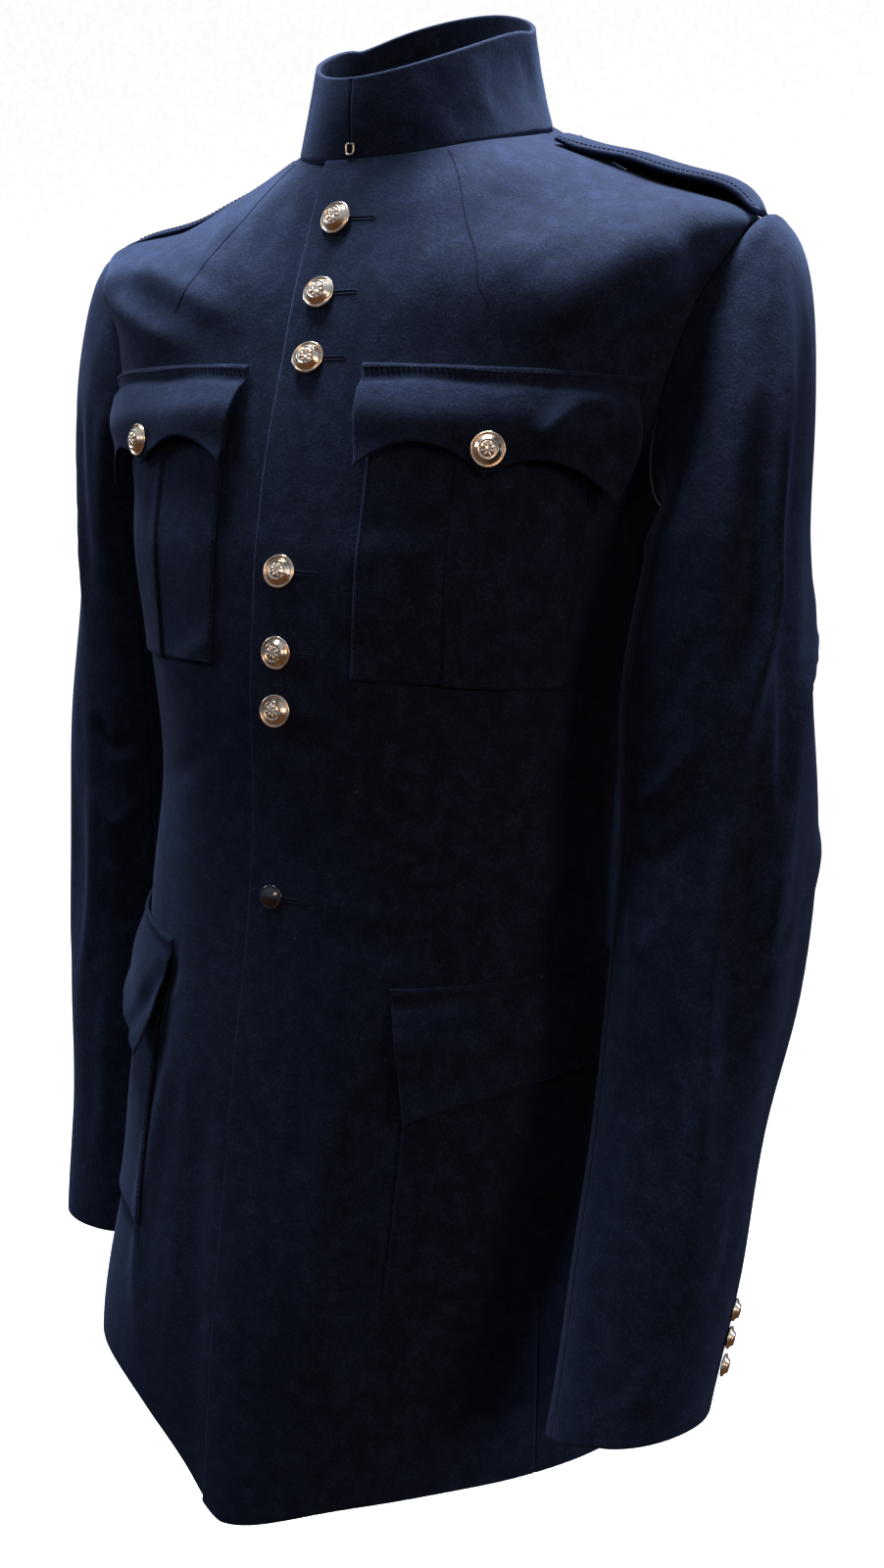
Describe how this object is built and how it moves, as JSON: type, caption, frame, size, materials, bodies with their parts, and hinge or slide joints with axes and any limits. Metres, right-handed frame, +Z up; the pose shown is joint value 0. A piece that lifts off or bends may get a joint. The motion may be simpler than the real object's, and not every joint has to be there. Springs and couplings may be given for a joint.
{
  "type": "military dress tunic",
  "caption": "Stand-collar military dress tunic in navy wool, worn and filled out with no wearer, with gilt buttons, pleated breast pockets, skirt pockets and shoulder straps.",
  "frame": {"origin": "base of the neck, midway between the neck points of the two shoulders, where the wearer carries it", "axes": "+Z up, -Y towards the wearer's front, +X towards the wearer's left"},
  "size_m": [0.5652, 0.3198, 0.9267],
  "materials": {
    "wool": "milled wool with a short nap",
    "gilt": "polished gilt",
    "black_button": "gloss",
    "steel": "plated wire"
  },
  "bodies": {
    "root": {"back_left": "wool", "back_right": "wool", "breast_flap_left": "wool", "breast_flap_right": "wool", "breast_pocket_left": "wool", "breast_pocket_right": "wool", "button_cuff_left_1": "gilt", "button_cuff_left_2": "gilt", "button_cuff_left_3": "gilt", "button_cuff_right_1": "gilt", "button_cuff_right_2": "gilt", "button_cuff_right_3": "gilt", "button_front_1": "gilt", "button_front_2": "gilt", "button_front_3": "gilt", "button_front_4": "gilt", "button_front_5": "gilt", "button_front_6": "gilt", "button_front_7": "black_button", "button_pocket_left": "gilt", "button_pocket_right": "gilt", "collar": "wool", "collar_hook": "steel", "front_left": "wool", "front_right": "wool", "shoulder_strap_left": "wool", "shoulder_strap_right": "wool", "side_left": "wool", "side_right": "wool", "skirt_flap_left": "wool", "skirt_flap_right": "wool", "skirt_pocket_left": "wool", "skirt_pocket_right": "wool", "sleeve_top_left": "wool", "sleeve_top_right": "wool", "sleeve_under_left": "wool", "sleeve_under_right": "wool"}
  },
  "joints": []
}
